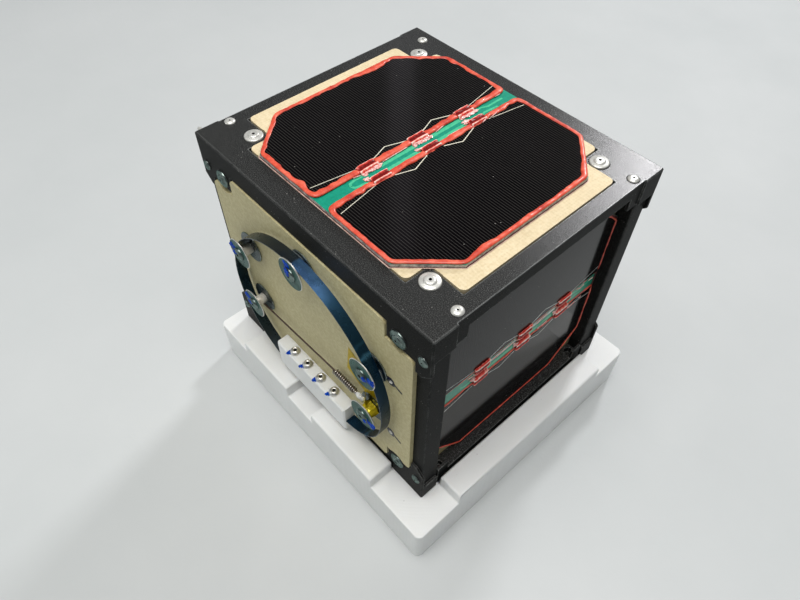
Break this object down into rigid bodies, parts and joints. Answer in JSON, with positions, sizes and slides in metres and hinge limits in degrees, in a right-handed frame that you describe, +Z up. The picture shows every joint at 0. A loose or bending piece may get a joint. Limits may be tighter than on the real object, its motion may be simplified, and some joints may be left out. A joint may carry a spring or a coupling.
{
  "type": "cube satellite on a handling tray",
  "caption": "Small cube-shaped satellite with body-mounted solar cells and a stowed strip antenna, standing on a white handling tray.",
  "frame": {"origin": "middle of the tray's underside, on the bench", "axes": "+Z up; +X along the satellite's rails, towards its right end panel; -Y out of the antenna face"},
  "size_m": [0.129, 0.121, 0.1232],
  "materials": {
    "white_plastic": "machined white plastic",
    "black_anodised": "satin black anodised",
    "glass_fibre": "bare tan glass-fibre laminate",
    "green_board": "green solder resist",
    "solar_cell": "dark cell under cover glass",
    "red_sealant": "hand-laid silicone bead",
    "clip": "silvered strip with red sealant",
    "steel": "stainless",
    "blued_steel": "blue-black spring steel",
    "spring_steel": "dull steel wire",
    "dark_line": "waxed line",
    "stack": "plain block"
  },
  "bodies": {
    "root": {"antenna_clamp": "white_plastic", "antenna_strip": "blued_steel", "board_back": "glass_fibre", "board_bottom": "glass_fibre", "board_front": "glass_fibre", "board_left": "glass_fibre", "board_right": "glass_fibre", "board_top": "glass_fibre", "cell_clips_back": "clip", "cell_clips_bottom": "clip", "cell_clips_left": "clip", "cell_clips_right": "clip", "cell_clips_top": "clip", "clamp_screws": "steel", "corner_post_left_back": "black_anodised", "corner_post_left_front": "black_anodised", "corner_post_right_back": "black_anodised", "corner_post_right_front": "black_anodised", "electronics_stack": "stack", "frame_bottom": "black_anodised", "frame_top": "black_anodised", "guide_screws": "steel", "guide_spacers": "steel", "guide_washers": "steel", "handling_tray": "white_plastic", "hold_down_line": "dark_line", "hold_down_spring": "spring_steel", "screws_back": "steel", "screws_front": "steel", "screws_top": "steel", "sealant_back": "red_sealant", "sealant_bottom": "red_sealant", "sealant_left": "red_sealant", "sealant_right": "red_sealant", "sealant_top": "red_sealant", "solar_carrier_back": "green_board", "solar_carrier_bottom": "green_board", "solar_carrier_left": "green_board", "solar_carrier_right": "green_board", "solar_carrier_top": "green_board", "solar_cells_back": "solar_cell", "solar_cells_bottom": "solar_cell", "solar_cells_left": "solar_cell", "solar_cells_right": "solar_cell", "solar_cells_top": "solar_cell"}
  },
  "joints": []
}
